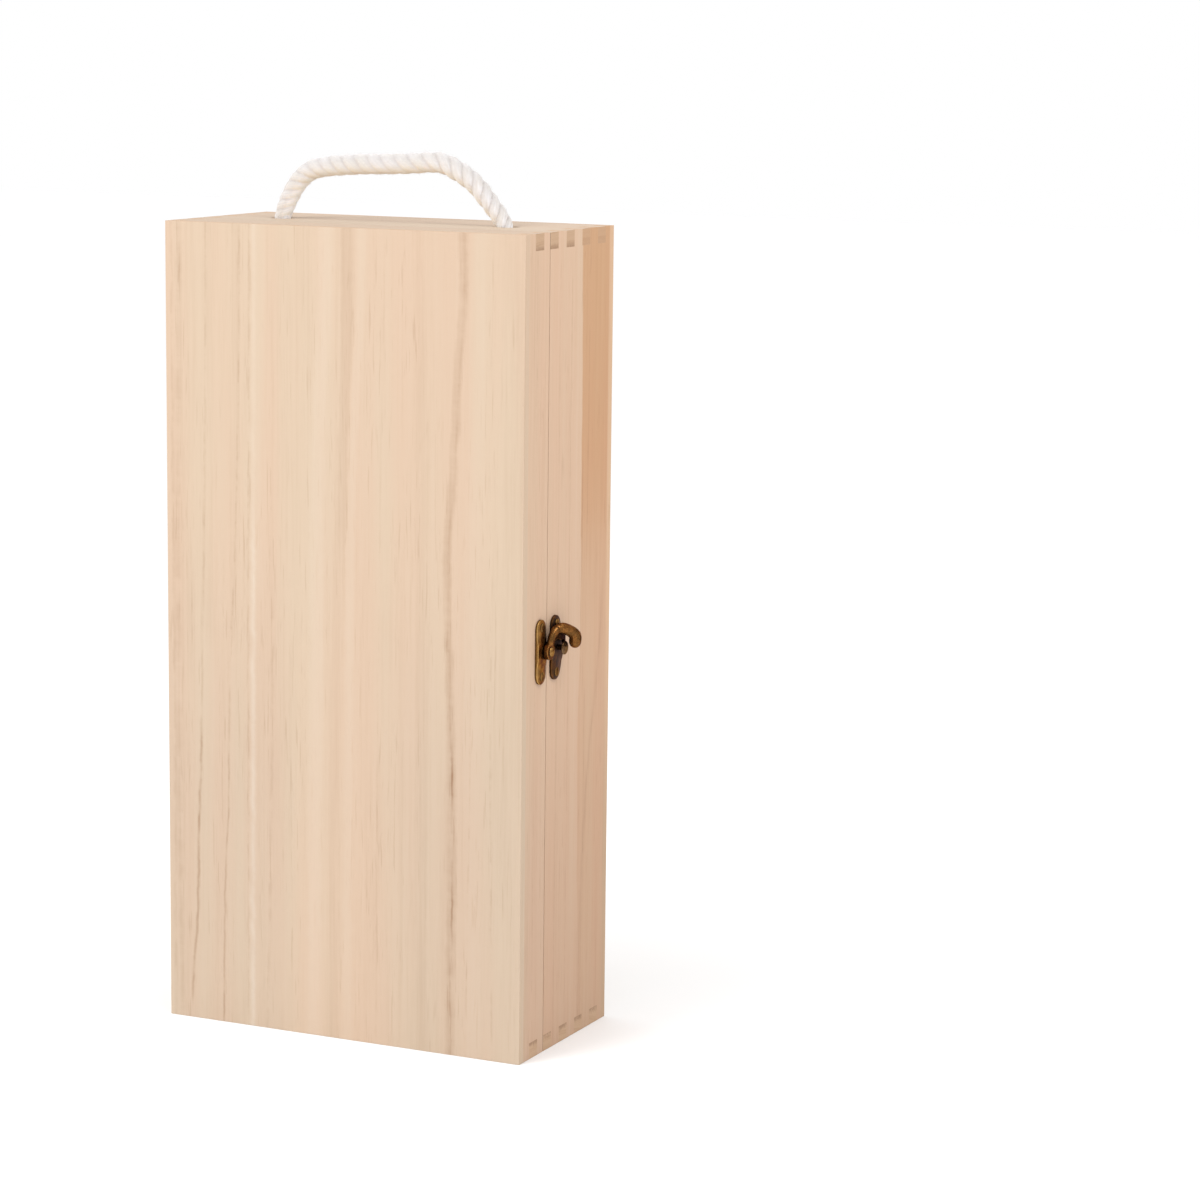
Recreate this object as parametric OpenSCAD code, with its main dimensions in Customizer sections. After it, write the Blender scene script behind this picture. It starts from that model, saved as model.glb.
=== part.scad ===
// Wooden wine box for two bottles. It stands upright on its base, and its
// front opens sideways as a shallow lid. Origin: centre of the footprint at
// the base. +Z up, the front looks towards -Y, the latch is on the +X side.

/* [Box] */
// Outside width of the box, left to right
box_w = 172; // [170:1:200]
// Outside depth of the closed box, front to back
box_d = 85; // [85:1:100]
// Outside height of the box, base to top
box_h = 350; // [330:1:400]
// Thickness of the side boards and end boards
frame_t = 7; // [7:0.5:9]
// Thickness of the front and back panels
panel_t = 4; // [3:0.5:5]
// Distance from the front of the box to the seam between lid and body
lid_d = 22.8; // [22:0.2:26]
// Gap between the lid and the body when the box is closed
seam_gap = 0.4; // [0.3:0.1:0.6]
// Thickness of the divider between the two bottles
divider_t = 4; // [3:0.5:6]
// Depth of the grooves that hold the divider's ends
groove_d = 2.5; // [1:0.5:3]

/* [Finger joints] */
// Number of fingers and gaps at each corner of the body (odd)
body_fingers = 7; // [5:2:7]
// Width of the fingers at the body's corners
body_finger = 7.7; // [7:0.1:8.2]
// Width of the middle finger at the lid's corners
lid_finger = 7.7; // [6:0.1:9]

/* [Rope handle] */
// Diameter of the rope
rope_dia = 8.4; // [7.6:0.1:8.5]
// Diameter of the two rope holes in the top board
rope_hole = 9; // [8.8:0.1:10]
// Distance between the centres of the two rope holes
rope_pitch = 110; // [108:1:112]
// Distance of the rope holes behind the centre of the box
rope_y = 4; // [2:0.5:10]

/* [Hinges] */
// Height of each hinge
hinge_h = 25; // [20:1:32]
// Width of a hinge leaf, measured from the pin
hinge_w = 9; // [8.5:0.5:11]
// Thickness of a hinge leaf
leaf_t = 0.9; // [0.8:0.05:1]
// Diameter of the hinge pins
pin_dia = 1.8; // [1.6:0.1:2]
// Distance of each hinge's middle from the nearer end of the box
hinge_from_end = 75; // [50:1:110]

/* [Latch] */
// Width of each latch plate
plate_w = 8.5; // [8.4:0.1:9]
// Height of each latch plate
plate_h = 27.6; // [26:0.2:30]
// Thickness of the latch plates
plate_t = 1.6; // [1.6:0.1:1.8]
// Diameter of the catch knob's head
knob_dia = 6; // [5:0.2:6.2]

/* [Hidden] */

$fn = 48;
hw = box_w / 2;
front = -box_d / 2;
back = box_d / 2;
seam = front + lid_d;
lid_in = front + panel_t;          // front edge of the lid's frame
lid_edge = seam - seam_gap / 2;    // the lid's rim
body_edge = seam + seam_gap / 2;   // the body's rim
body_in = back - panel_t;          // back edge of the body's frame
mid_z = box_h / 2;

wood_front = [0.93, 0.82, 0.70];
wood_side = [0.88, 0.75, 0.62];
wood_end = [0.80, 0.66, 0.52];
bronze = [0.42, 0.30, 0.17];
cotton = [0.95, 0.92, 0.86];

// ---------- boards ----------

finger_w = min(body_finger, (body_in - body_edge) / body_fingers);

// The gaps between a board's fingers: every second one from the rim on.
module body_gaps(first, x0, x1, z0, z1) {
    for (i = [first : 2 : body_fingers - 1])
        translate([x0, body_edge + i * finger_w, z0])
            cube([x1 - x0, finger_w, z1 - z0]);
}

// The end boards' gaps, with the last one, which reaches the back panel.
module end_gaps(x0, x1, z0, z1) {
    body_gaps(1, x0, x1, z0, z1);
    translate([x0, body_edge + body_fingers * finger_w, z0])
        cube([x1 - x0, body_in - body_edge - body_fingers * finger_w + 1,
              z1 - z0]);
}

lid_mid = (lid_in + lid_edge) / 2;

module lid_middle(x0, x1, z0, z1) {
    translate([x0, lid_mid - lid_finger / 2, z0])
        cube([x1 - x0, lid_finger, z1 - z0]);
}

module lid_outer(x0, x1, z0, z1) {
    translate([x0, lid_in, z0])
        cube([x1 - x0, lid_mid - lid_finger / 2 - lid_in, z1 - z0]);
    translate([x0, lid_mid + lid_finger / 2, z0])
        cube([x1 - x0, lid_edge - lid_mid - lid_finger / 2, z1 - z0]);
}

// A side board of the body: s is -1 on the left and 1 on the right.
module body_side(s) {
    x0 = s < 0 ? -hw : hw - frame_t;
    difference() {
        translate([x0, body_edge, 0])
            cube([frame_t, body_in - body_edge, box_h]);
        body_gaps(0, x0 - 1, x0 + frame_t + 1, -1, frame_t);
        body_gaps(0, x0 - 1, x0 + frame_t + 1, box_h - frame_t, box_h + 1);
    }
}

// An end board of the body, with the groove of the divider on its inner face.
module body_end(z0, groove_z) {
    difference() {
        translate([-hw, body_edge, z0])
            cube([box_w, body_in - body_edge, frame_t]);
        end_gaps(-hw - 1, -hw + frame_t, z0 - 1, z0 + frame_t + 1);
        end_gaps(hw - frame_t, hw + 1, z0 - 1, z0 + frame_t + 1);
        translate([-divider_t / 2, divider_front, groove_z])
            cube([divider_t, body_in - divider_front + 1, groove_d]);
    }
}

divider_front = body_edge + 1;

module back_panel() color(wood_side)
    translate([-hw, body_in, 0]) cube([box_w, panel_t, box_h]);

module body_side_left() color(wood_side) difference() {
    body_side(-1);
    for (z = hinge_zs, dz = screw_zs)
        hinge_screw_place(1, z + dz) pilot(hinge_screw_l);
}

module body_side_right() color(wood_side) difference() {
    body_side(1);
    for (s = [-1, 1])
        latch_place(plate_body_y, mid_z + s * latch_screw_z) pilot(latch_screw_l);
    latch_place(knob_y, mid_z) pilot(1, knob_post_r);
}

module body_top_end() color(wood_end) difference() {
    body_end(box_h - frame_t, box_h - frame_t);
    for (s = [-1, 1]) translate([s * rope_pitch / 2, rope_y, box_h]) {
        translate([0, 0, -frame_t - 1]) cylinder(d = rope_hole, h = frame_t + 2);
        translate([0, 0, -0.8])
            cylinder(r1 = rope_hole / 2, r2 = rope_hole / 2 + 1, h = 1);
    }
}

module body_bottom_end() color(wood_end)
    body_end(0, frame_t - groove_d);

module divider() color(wood_side)
    translate([-divider_t / 2, divider_front, frame_t - groove_d])
        cube([divider_t, body_in - divider_front,
              box_h - 2 * frame_t + 2 * groove_d]);

module lid_panel() color(wood_front)
    translate([-hw, front, 0]) cube([box_w, panel_t, box_h]);

module lid_side(s) {
    x0 = s < 0 ? -hw : hw - frame_t;
    difference() {
        translate([x0, lid_in, 0])
            cube([frame_t, lid_edge - lid_in, box_h]);
        lid_middle(x0 - 1, x0 + frame_t + 1, -1, frame_t);
        lid_middle(x0 - 1, x0 + frame_t + 1, box_h - frame_t, box_h + 1);
    }
}

module lid_end(z0) {
    difference() {
        translate([-hw, lid_in, z0])
            cube([box_w, lid_edge - lid_in, frame_t]);
        translate([0, 0, 0]) lid_outer(-hw - 1, -hw + frame_t, z0 - 1, z0 + frame_t + 1);
        lid_outer(hw - frame_t, hw + 1, z0 - 1, z0 + frame_t + 1);
    }
}

module lid_side_left() color(wood_side) difference() {
    lid_side(-1);
    for (z = hinge_zs, dz = screw_zs)
        hinge_screw_place(-1, z + dz) pilot(hinge_screw_l);
}

module lid_side_right() color(wood_side) difference() {
    lid_side(1);
    for (s = [-1, 1])
        latch_place(plate_lid_y, mid_z + s * latch_screw_z) pilot(latch_screw_l);
    latch_place(pivot_y, mid_z) pilot(1, rivet_r);
}

module lid_top_end() color(wood_end) lid_end(box_h - frame_t);

module lid_bottom_end() color(wood_end) lid_end(0);

// ---------- screws and rivets: drawn along +Z out of the wood ----------

screw_r = 0.95;

// The hole for a screw or rivet below the surface z = 0.
module pilot(l, r = screw_r) translate([0, 0, -l]) cylinder(r = r, h = l + 1);

// An oval-headed screw: its head is let into a plate t thick.
module screw(t, head_r, l) difference() {
    rotate_extrude() polygon([
        [0, -l], [0.25, -l], [screw_r, -l + 1.2], [screw_r, t - 0.75],
        [head_r, t], [head_r * 0.9, t + 0.12], [head_r * 0.55, t + 0.24],
        [0, t + 0.28]
    ]);
    translate([-head_r - 1, -0.25, t - 0.2])
        cube([2 * head_r + 2, 0.5, 1]);
}

// The countersunk hole of that screw in its plate.
module countersink(t, head_r) rotate_extrude() polygon([
    [0, -1], [screw_r, -1], [screw_r, t - 0.75], [head_r, t],
    [head_r, t + 1], [0, t + 1]
]);

// ---------- hinges, on the left side ----------

hinge_zs = [hinge_from_end, box_h - hinge_from_end];
screw_zs = [-hinge_h * 0.3, hinge_h * 0.3];
hinge_screw_l = 5.2;
hinge_head_r = 1.65;
barrel_r = 1.9;
axis_x = -hw - barrel_r - 0.3;
axis_y = seam;
knuckle_gap = 0.15;
knuckle_h = hinge_h / 3;
clear_y = 2.3;                     // the leaf stops this far from the axis

// Puts a thing drawn along +Z on the left side's face, pointing outwards.
module hinge_screw_place(s, z)
    translate([-hw, seam + s * (hinge_w * 0.62), z]) rotate([0, -90, 0])
        children();

// One leaf with its knuckles: s is 1 for the body and -1 for the lid.
// spans lists the [low, high] of each knuckle, from the hinge's middle.
module hinge_leaf(zc, s, spans, bore_r) {
    y0 = s > 0 ? seam + clear_y : seam - hinge_w;
    difference() {
        union() {
            translate([-hw - leaf_t, y0, zc - hinge_h / 2])
                cube([leaf_t, hinge_w - clear_y, hinge_h]);
            for (k = spans) {
                translate([-hw - leaf_t, s > 0 ? seam : seam - clear_y - 1,
                           zc + k[0]])
                    cube([leaf_t, clear_y + 1, k[1] - k[0]]);
                translate([axis_x, axis_y, zc + k[0]])
                    cylinder(r = barrel_r, h = k[1] - k[0]);
            }
        }
        translate([axis_x, axis_y, zc - hinge_h])
            cylinder(r = bore_r, h = 2 * hinge_h);
        for (dz = screw_zs)
            hinge_screw_place(s, zc + dz) countersink(leaf_t, hinge_head_r);
    }
}

module body_leaf(zc) hinge_leaf(zc, 1, [
    [-hinge_h / 2, -knuckle_h / 2 - knuckle_gap],
    [knuckle_h / 2 + knuckle_gap, hinge_h / 2]
], pin_dia / 2);

module lid_leaf(zc) hinge_leaf(zc, -1, [
    [-knuckle_h / 2 + knuckle_gap, knuckle_h / 2 - knuckle_gap]
], pin_dia / 2 + 0.05);

module hinge_pin(zc) translate([axis_x, axis_y, zc]) rotate_extrude() polygon([
    [0, -hinge_h / 2 - 0.5], [pin_dia / 2 - 0.3, -hinge_h / 2 - 0.5],
    [pin_dia / 2, -hinge_h / 2 - 0.2], [pin_dia / 2, hinge_h / 2 + 0.2],
    [pin_dia / 2 - 0.3, hinge_h / 2 + 0.5], [0, hinge_h / 2 + 0.5]
]);

module lower_hinge_body_leaf() color(bronze) body_leaf(hinge_zs[0]);
module lower_hinge_lid_leaf() color(bronze) lid_leaf(hinge_zs[0]);
module lower_hinge_pin() color(bronze) hinge_pin(hinge_zs[0]);
module upper_hinge_body_leaf() color(bronze) body_leaf(hinge_zs[1]);
module upper_hinge_lid_leaf() color(bronze) lid_leaf(hinge_zs[1]);
module upper_hinge_pin() color(bronze) hinge_pin(hinge_zs[1]);

module hinge_body_screws() color(bronze)
    for (z = hinge_zs, dz = screw_zs)
        hinge_screw_place(1, z + dz) screw(leaf_t, hinge_head_r, hinge_screw_l);

module hinge_lid_screws() color(bronze)
    for (z = hinge_zs, dz = screw_zs)
        hinge_screw_place(-1, z + dz) screw(leaf_t, hinge_head_r, hinge_screw_l);

// ---------- latch, on the right side at mid height ----------

plate_lid_y = seam - 2.6 - plate_w / 2;    // middle of the lid's plate
plate_body_y = seam + 2.8 + plate_w / 2;   // middle of the body's plate
pivot_y = seam - 3.7;
knob_y = plate_body_y + 1;
latch_screw_z = plate_h / 2 - 3.4;
latch_screw_l = 5;
latch_head_r = 1.9;
rivet_r = 1.2;
knob_post_r = 1.2;
ear_r = 3.3;
hook_low = 2;                       // the hook's eye lies between these
hook_high = 4.1;

// Puts a thing drawn along +Z on the right side's face, pointing outwards.
module latch_place(y, z) translate([hw, y, z]) rotate([0, 90, 0]) children();

module latch_lid_plate() color(bronze) latch_place(plate_lid_y, mid_z)
    difference() {
        union() {
            linear_extrude(plate_t) {
                plate_bar();
                translate([0, pivot_y - plate_lid_y]) circle(r = ear_r);
            }
            translate([0, pivot_y - plate_lid_y, 0])
                cylinder(r = 2.2, h = hook_low - 0.1);
        }
        translate([0, pivot_y - plate_lid_y, -1]) cylinder(r = rivet_r, h = 5);
        for (s = [-1, 1]) translate([s * latch_screw_z, 0, 0])
            countersink(plate_t, latch_head_r);
    }

// A plate's outline: a bar with round ends.
module plate_bar() {
    square([plate_h - plate_w, plate_w], center = true);
    for (s = [-1, 1])
        translate([s * (plate_h - plate_w) / 2, 0]) circle(d = plate_w);
}

// The shallow bow by which the body's plate is wider at its middle.
module plate_bow(out, r) intersection() {
    translate([0, plate_w / 2 + out - r]) circle(r = r, $fn = 96);
    translate([-plate_h / 2 + 3.4, 0])
        square([plate_h - 6.8, plate_w / 2 + out + 1]);
}

module latch_body_plate() color(bronze) latch_place(plate_body_y, mid_z)
    difference() {
        linear_extrude(plate_t) {
            plate_bar();
            plate_bow(2, 30);
        }
        translate([0, knob_y - plate_body_y, -1])
            cylinder(r = knob_post_r, h = 5);
        for (s = [-1, 1]) translate([s * latch_screw_z, 0, 0])
            countersink(plate_t, latch_head_r);
    }

module latch_catch_knob() color(bronze) latch_place(knob_y, mid_z)
    rotate_extrude() polygon([
        [0, -1], [knob_post_r, -1], [knob_post_r, 4.3],
        [knob_dia / 2 - 0.3, 4.3], [knob_dia / 2, 4.6],
        [knob_dia / 2 - 0.2, 5.0], [knob_dia / 2 - 0.8, 5.35],
        [knob_dia / 2 - 1.7, 5.55], [0, 5.6]
    ]);

module latch_pivot_rivet() color(bronze) latch_place(pivot_y, mid_z)
    rotate_extrude() polygon([
        [0, -1], [rivet_r, -1], [rivet_r, 4.2], [2.1, 4.2], [2.1, 4.35],
        [1.8, 4.75], [1.2, 5.05], [0.6, 5.17], [0, 5.2]
    ]);

module latch_lid_screws() color(bronze) for (s = [-1, 1])
    latch_place(plate_lid_y, mid_z + s * latch_screw_z)
        screw(plate_t, latch_head_r, latch_screw_l);

module latch_body_screws() color(bronze) for (s = [-1, 1])
    latch_place(plate_body_y, mid_z + s * latch_screw_z)
        screw(plate_t, latch_head_r, latch_screw_l);

// The hook's thick rib: [out from the side, depth from the pivot, height
// from the pivot, radius]. It rises from the eye, arches over the knob and
// flares outwards into the thumb end.
rib = [
    [3.45, 0.1, 3.75, 1.45], [3.6, 1.3, 6.0, 1.65], [4.1, 4.3, 8.6, 2.0],
    [5.1, 8.4, 9.0, 2.35], [6.5, 12.3, 7.4, 2.5], [7.9, 15.1, 5.1, 2.65],
    [8.3, 14.2, 2.5, 2.7]
];

// The flat part behind the rib, with the notch that drops over the post.
web = [
    [0.5, 3.0], [1.5, 5.3], [4.6, 8.0], [9.6, 8.9], [12.9, 7.8],
    [14.7, 5.4], [14.7, 1.9], [14.4, 1.6], [13.4, 1.6], [13.35, 2.8],
    [12.8, 3.4], [10.0, 3.4], [8.0, 4.3], [6.0, 4.4], [4.2, 3.4], [2.9, 1.2]
];

module latch_hook() color(bronze) translate([hw, pivot_y, mid_z])
    difference() {
        union() {
            rotate([0, 90, 0]) translate([0, 0, hook_low])
                cylinder(r = 3.5, h = hook_high - hook_low);
            translate([2.2, 0, 0]) rotate([90, 0, 90])
                linear_extrude(1.5) polygon(web);
            tube(rounded(smooth(rib, 3)), 12);
        }
        rotate([0, 90, 0]) translate([0, 0, -1])
            cylinder(r = rivet_r + 0.05, h = 12);
    }

// ---------- rope ----------

rope_r = rope_dia / 2;
foot_z = box_h + rope_r + 0.6;      // the arch bends about this height

// The arch of the handle: [x, height above the top], in round numbers.
arch = [
    [-53.2, 4.8], [-51.8, 8.3], [-49.2, 12.8], [-45.4, 17.2],
    [-40.5, 20.6], [-34.0, 22.3], [-25.0, 23.2], [-15.0, 23.9],
    [-3.0, 24.3], [9.0, 24.9], [17.5, 25.6], [23.0, 25.4], [28.5, 23.4],
    [35.0, 19.8], [39.8, 16.2], [44.4, 11.4], [48.4, 7.1], [50.5, 4.8]
];

module rope_handle() color(cotton) {
    tube(rounded([for (p = arch) [p[0], rope_y, box_h + p[1], rope_r]]), 12);
}

// The end of the rope: down through its hole, a stopper knot and a tail.
module rope_knot(s) translate([s * rope_pitch / 2, rope_y, 0]) {
    translate([0, 0, box_h - frame_t - 9.3]) sphere(r = 9.3);
    translate([0, 0, box_h - frame_t - 30])
        cylinder(r = rope_r, h = frame_t + 30.2);
}

module rope_knot_left() color(cotton) rope_knot(-1);
module rope_knot_right() color(cotton) rope_knot(1);

// ---------- helpers for curved bars and ropes ----------

// A point on the smooth curve through a, b, c and d, between b and c.
function between(a, b, c, d, t) =
    0.5 * (2 * b + (c - a) * t + (2 * a - 5 * b + 4 * c - d) * t * t
           + (3 * b - a - 3 * c + d) * t * t * t);

// The list again, with n steps on the smooth curve between its points.
function smooth(p, n) = let (m = len(p) - 1) concat(
    [for (i = [0 : m - 1], k = [0 : n - 1])
        between(p[max(i - 1, 0)], p[i], p[i + 1], p[min(i + 2, m)], k / n)],
    [p[m]]);

function unit(v) = v / norm(v);

function xyz(p) = [p[0], p[1], p[2]];

// The direction of the route at point i.
function along(p, i) = let (m = len(p) - 1)
    unit(xyz(p[min(i + 1, m)]) - xyz(p[max(i - 1, 0)]));

// The rings of a round end at point i of the route, going out along w.
function round_end(p, i, w) = [for (a = [25, 50, 72])
    let (q = xyz(p[i]) + w * p[i][3] * sin(a))
        [q[0], q[1], q[2], p[i][3] * cos(a)]];

// The route [x, y, z, radius] with a round end at both of its ends.
function rounded(p) = let (
    m = len(p) - 1,
    a = round_end(p, 0, -along(p, 0)),
    b = round_end(p, m, along(p, m))
) concat([a[2], a[1], a[0]], p, b);

// A closed tube with s sides along the route p of [x, y, z, radius].
module tube(p, s) {
    n = len(p);
    up = [0.13, 0.98, 0.11];
    rings = [for (i = [0 : n - 1], k = [0 : s - 1])
        let (d = along(p, i), u = unit(cross(d, up)), v = cross(d, u),
             a = 360 * (k + 0.5) / s)
        xyz(p[i]) + p[i][3] * (cos(a) * u + sin(a) * v)];
    sides = [for (i = [0 : n - 2], k = [0 : s - 1])
        let (a = i * s + k, b = i * s + (k + 1) % s)
        each [[a, b + s, b], [a, a + s, b + s]]];
    caps = [[for (k = [0 : s - 1]) k],
            [for (k = [s - 1 : -1 : 0]) (n - 1) * s + k]];
    polyhedron(points = rings, faces = concat(sides, caps));
}

back_panel();
body_side_left();
body_side_right();
body_top_end();
body_bottom_end();
divider();
lid_panel();
lid_side_left();
lid_side_right();
lid_top_end();
lid_bottom_end();
upper_hinge_body_leaf();
upper_hinge_lid_leaf();
upper_hinge_pin();
lower_hinge_body_leaf();
lower_hinge_lid_leaf();
lower_hinge_pin();
hinge_body_screws();
hinge_lid_screws();
latch_lid_plate();
latch_body_plate();
latch_hook();
latch_pivot_rivet();
latch_catch_knob();
latch_lid_screws();
latch_body_screws();
rope_handle();
rope_knot_left();
rope_knot_right();
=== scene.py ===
"""Looks of the wooden wine box: bare pale wood, antique bronze latch and hinges, a twisted cotton rope handle."""

import math
import random

import bmesh
import bpy
import numpy as np
from mathutils import Matrix, Vector


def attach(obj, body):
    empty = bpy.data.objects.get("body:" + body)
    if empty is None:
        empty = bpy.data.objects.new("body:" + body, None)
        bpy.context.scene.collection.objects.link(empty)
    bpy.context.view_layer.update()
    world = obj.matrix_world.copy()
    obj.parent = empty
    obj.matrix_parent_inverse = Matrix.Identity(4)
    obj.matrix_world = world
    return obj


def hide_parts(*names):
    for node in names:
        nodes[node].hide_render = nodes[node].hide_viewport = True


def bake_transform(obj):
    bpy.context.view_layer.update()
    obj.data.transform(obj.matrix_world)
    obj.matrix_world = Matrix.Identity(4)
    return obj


MM = 0.001
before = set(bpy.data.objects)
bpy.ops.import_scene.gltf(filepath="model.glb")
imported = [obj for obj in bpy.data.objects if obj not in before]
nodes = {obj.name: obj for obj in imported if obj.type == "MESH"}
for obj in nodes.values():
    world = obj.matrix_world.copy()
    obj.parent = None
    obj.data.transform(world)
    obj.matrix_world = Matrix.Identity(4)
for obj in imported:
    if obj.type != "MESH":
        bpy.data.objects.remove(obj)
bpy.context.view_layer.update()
scene = bpy.context.scene

# ------------------------------------------------------------------ camera

right = Vector((0.90502648, 0.42519334, 0.01173414))
down = Vector((0.0793283, -0.14161959, -0.98673751))
ahead = Vector((-0.41789244, 0.89395443, -0.16189934))
place = Vector((0.73313, -1.35142, 0.43932))
cam = bpy.data.objects.new("camera", bpy.data.cameras.new("camera"))
scene.collection.objects.link(cam)
cam.matrix_world = Matrix(
    (
        (right.x, -down.x, -ahead.x, place.x),
        (right.y, -down.y, -ahead.y, place.y),
        (right.z, -down.z, -ahead.z, place.z),
        (0, 0, 0, 1),
    )
)
cam.data.sensor_fit = "HORIZONTAL"
cam.data.sensor_width = 36.0
cam.data.lens = 107.185
cam.data.clip_start = 0.01
cam.data.clip_end = 50
scene.camera = cam
scene.view_settings.view_transform = "Standard"
scene.view_settings.look = "None"
scene.view_settings.exposure = 0.0
scene.view_settings.gamma = 1.0

# ------------------------------------------------------------------ small helpers


def rgb(r, g, b, k=1.0):
    """A display colour of 0 to 255 as a linear one, times k."""

    def one(c):
        c = c / 255.0
        return c / 12.92 if c <= 0.04045 else ((c + 0.055) / 1.055) ** 2.4

    return (one(r) * k, one(g) * k, one(b) * k, 1.0)


class Paint:
    """A material's node tree, built by small calls."""

    def __init__(self, name):
        self.m = bpy.data.materials.new(name)
        self.m.use_nodes = True
        self.t = self.m.node_tree
        self.t.nodes.clear()
        self.out = self.n("ShaderNodeOutputMaterial")
        self.b = self.n("ShaderNodeBsdfPrincipled")
        self.t.links.new(self.b.outputs["BSDF"], self.out.inputs["Surface"])

    def n(self, kind, **props):
        x = self.t.nodes.new(kind)
        for k, v in props.items():
            setattr(x, k, v)
        return x

    def put(self, socket, v):
        if isinstance(v, bpy.types.NodeSocket):
            self.t.links.new(v, socket)
        elif v is not None:
            socket.default_value = v

    def math(self, op, a, b=None, c=None, clamp=False):
        x = self.n("ShaderNodeMath", operation=op, use_clamp=clamp)
        self.put(x.inputs[0], a)
        self.put(x.inputs[1], b)
        self.put(x.inputs[2], c)
        return x.outputs[0]

    def add(self, *values):
        v = values[0]
        for w in values[1:]:
            v = self.math("ADD", v, w)
        return v

    def sub(self, a, b):
        return self.math("SUBTRACT", a, b)

    def mul(self, a, b):
        return self.math("MULTIPLY", a, b)

    def xyz(self, x, y, z):
        c = self.n("ShaderNodeCombineXYZ")
        for s, v in zip(c.inputs, (x, y, z)):
            self.put(s, v)
        return c.outputs[0]

    def parts(self, v):
        s = self.n("ShaderNodeSeparateXYZ")
        self.put(s.inputs[0], v)
        return s.outputs[0], s.outputs[1], s.outputs[2]

    def noise(self, v, scale=1.0, detail=2.0, rough=0.5, bend=0.0):
        x = self.n("ShaderNodeTexNoise", noise_dimensions="3D")
        self.put(x.inputs["Vector"], v)
        x.inputs["Scale"].default_value = scale
        x.inputs["Detail"].default_value = detail
        x.inputs["Roughness"].default_value = rough
        x.inputs["Distortion"].default_value = bend
        return x.outputs[0]

    def noise1(self, w, scale=1.0, detail=2.0, rough=0.5):
        x = self.n("ShaderNodeTexNoise", noise_dimensions="1D")
        self.put(x.inputs["W"], w)
        x.inputs["Scale"].default_value = scale
        x.inputs["Detail"].default_value = detail
        x.inputs["Roughness"].default_value = rough
        return x.outputs[0]

    def span(self, v, a, b, c=0.0, d=1.0, soft=True):
        x = self.n(
            "ShaderNodeMapRange",
            clamp=True,
            interpolation_type="SMOOTHSTEP" if soft else "LINEAR",
        )
        self.put(x.inputs[0], v)
        for i, w in enumerate((a, b, c, d)):
            self.put(x.inputs[i + 1], w)
        return x.outputs[0]

    def mix(self, f, a, b, how="MIX"):
        x = self.n("ShaderNodeMix", data_type="RGBA", blend_type=how, clamp_factor=True)
        self.put(x.inputs[0], f)
        self.put(x.inputs[6], a)
        self.put(x.inputs[7], b)
        return x.outputs[2]

    def curve(self, f, points):
        """Values of 0 to 1 along f of 0 to 1, joined by straight runs."""
        x = self.n("ShaderNodeFloatCurve")
        c = x.mapping.curves[0]
        pts = sorted(points)
        if pts[0][0] > 0:
            pts.insert(0, (0.0, pts[0][1]))
        if pts[-1][0] < 1:
            pts.append((1.0, pts[-1][1]))
        while len(c.points) < len(pts):
            c.points.new(0.5, 0.5)
        for p, (u, v) in zip(c.points, pts):
            p.location = (u, v)
            p.handle_type = "AUTO_CLAMPED"
        x.mapping.update()
        self.put(x.inputs[1], f)
        x.inputs[0].default_value = 1.0
        return x.outputs[0]

    def bump(self, height, strength, distance, normal=None):
        x = self.n("ShaderNodeBump")
        x.inputs["Strength"].default_value = strength
        x.inputs["Distance"].default_value = distance
        self.put(x.inputs["Height"], height)
        self.put(x.inputs["Normal"], normal)
        return x.outputs[0]

    def set(self, **values):
        for k, v in values.items():
            self.b.inputs[k.replace("_", " ")].default_value = v


def mesh_object(name, verts, faces, smooth=True):
    me = bpy.data.meshes.new(name)
    me.from_pydata([tuple(v) for v in verts], [], faces)
    me.validate()
    if smooth:
        me.shade_smooth()
    ob = bpy.data.objects.new(name, me)
    scene.collection.objects.link(ob)
    return ob


def paint(ob, mat):
    ob.data.materials.clear()
    ob.data.materials.append(mat)


# ------------------------------------------------------------------ wood

AXES = {"x": 0, "y": 1, "z": 2}
WOOD_K = 0.69


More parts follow.
